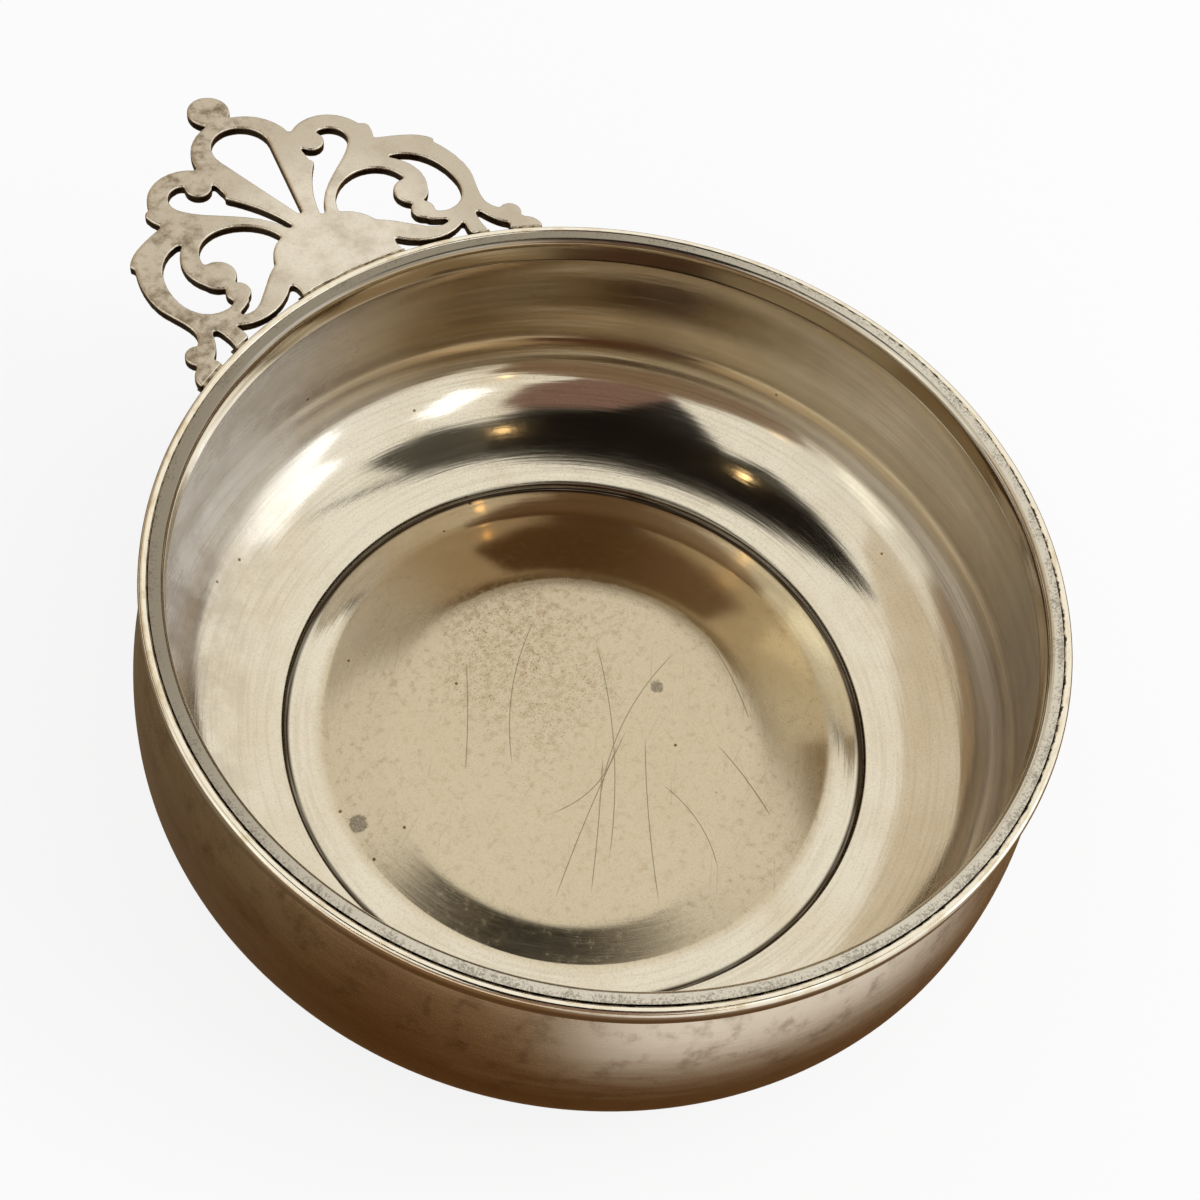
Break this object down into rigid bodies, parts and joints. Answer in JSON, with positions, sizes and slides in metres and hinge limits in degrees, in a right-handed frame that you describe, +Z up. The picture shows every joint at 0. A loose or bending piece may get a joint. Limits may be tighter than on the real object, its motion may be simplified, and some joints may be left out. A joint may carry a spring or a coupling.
{
  "type": "porringer",
  "caption": "Round silver porringer: a spun bowl with a bellied side and a stepped, domed floor, a wired lip, and a flat pierced scroll handle soldered to the rim",
  "frame": {"origin": "on the surface it stands on, under the middle of the whole length from the back of the belly to the tip of the handle", "axes": "+X across the handle, +Y out along the handle, +Z up"},
  "size_m": [0.12, 0.157, 0.0416],
  "materials": {
    "bowl_silver": "satin silver with fine turning lines, scratches and light brown tarnish",
    "rim_silver": "polished silver, tarnished along its seam",
    "handle_silver": "satin silver with dark tarnish on the outer scrolls",
    "solder": "dull grey silver solder"
  },
  "bodies": {
    "root": {"bowl_body": "bowl_silver", "rim_wire": "rim_silver", "handle": "handle_silver", "rim_solder": "solder", "solder_tongue": "solder", "solder_strut_left": "solder", "solder_strut_right": "solder", "solder_foot_left": "solder", "solder_foot_right": "solder"}
  },
  "joints": []
}
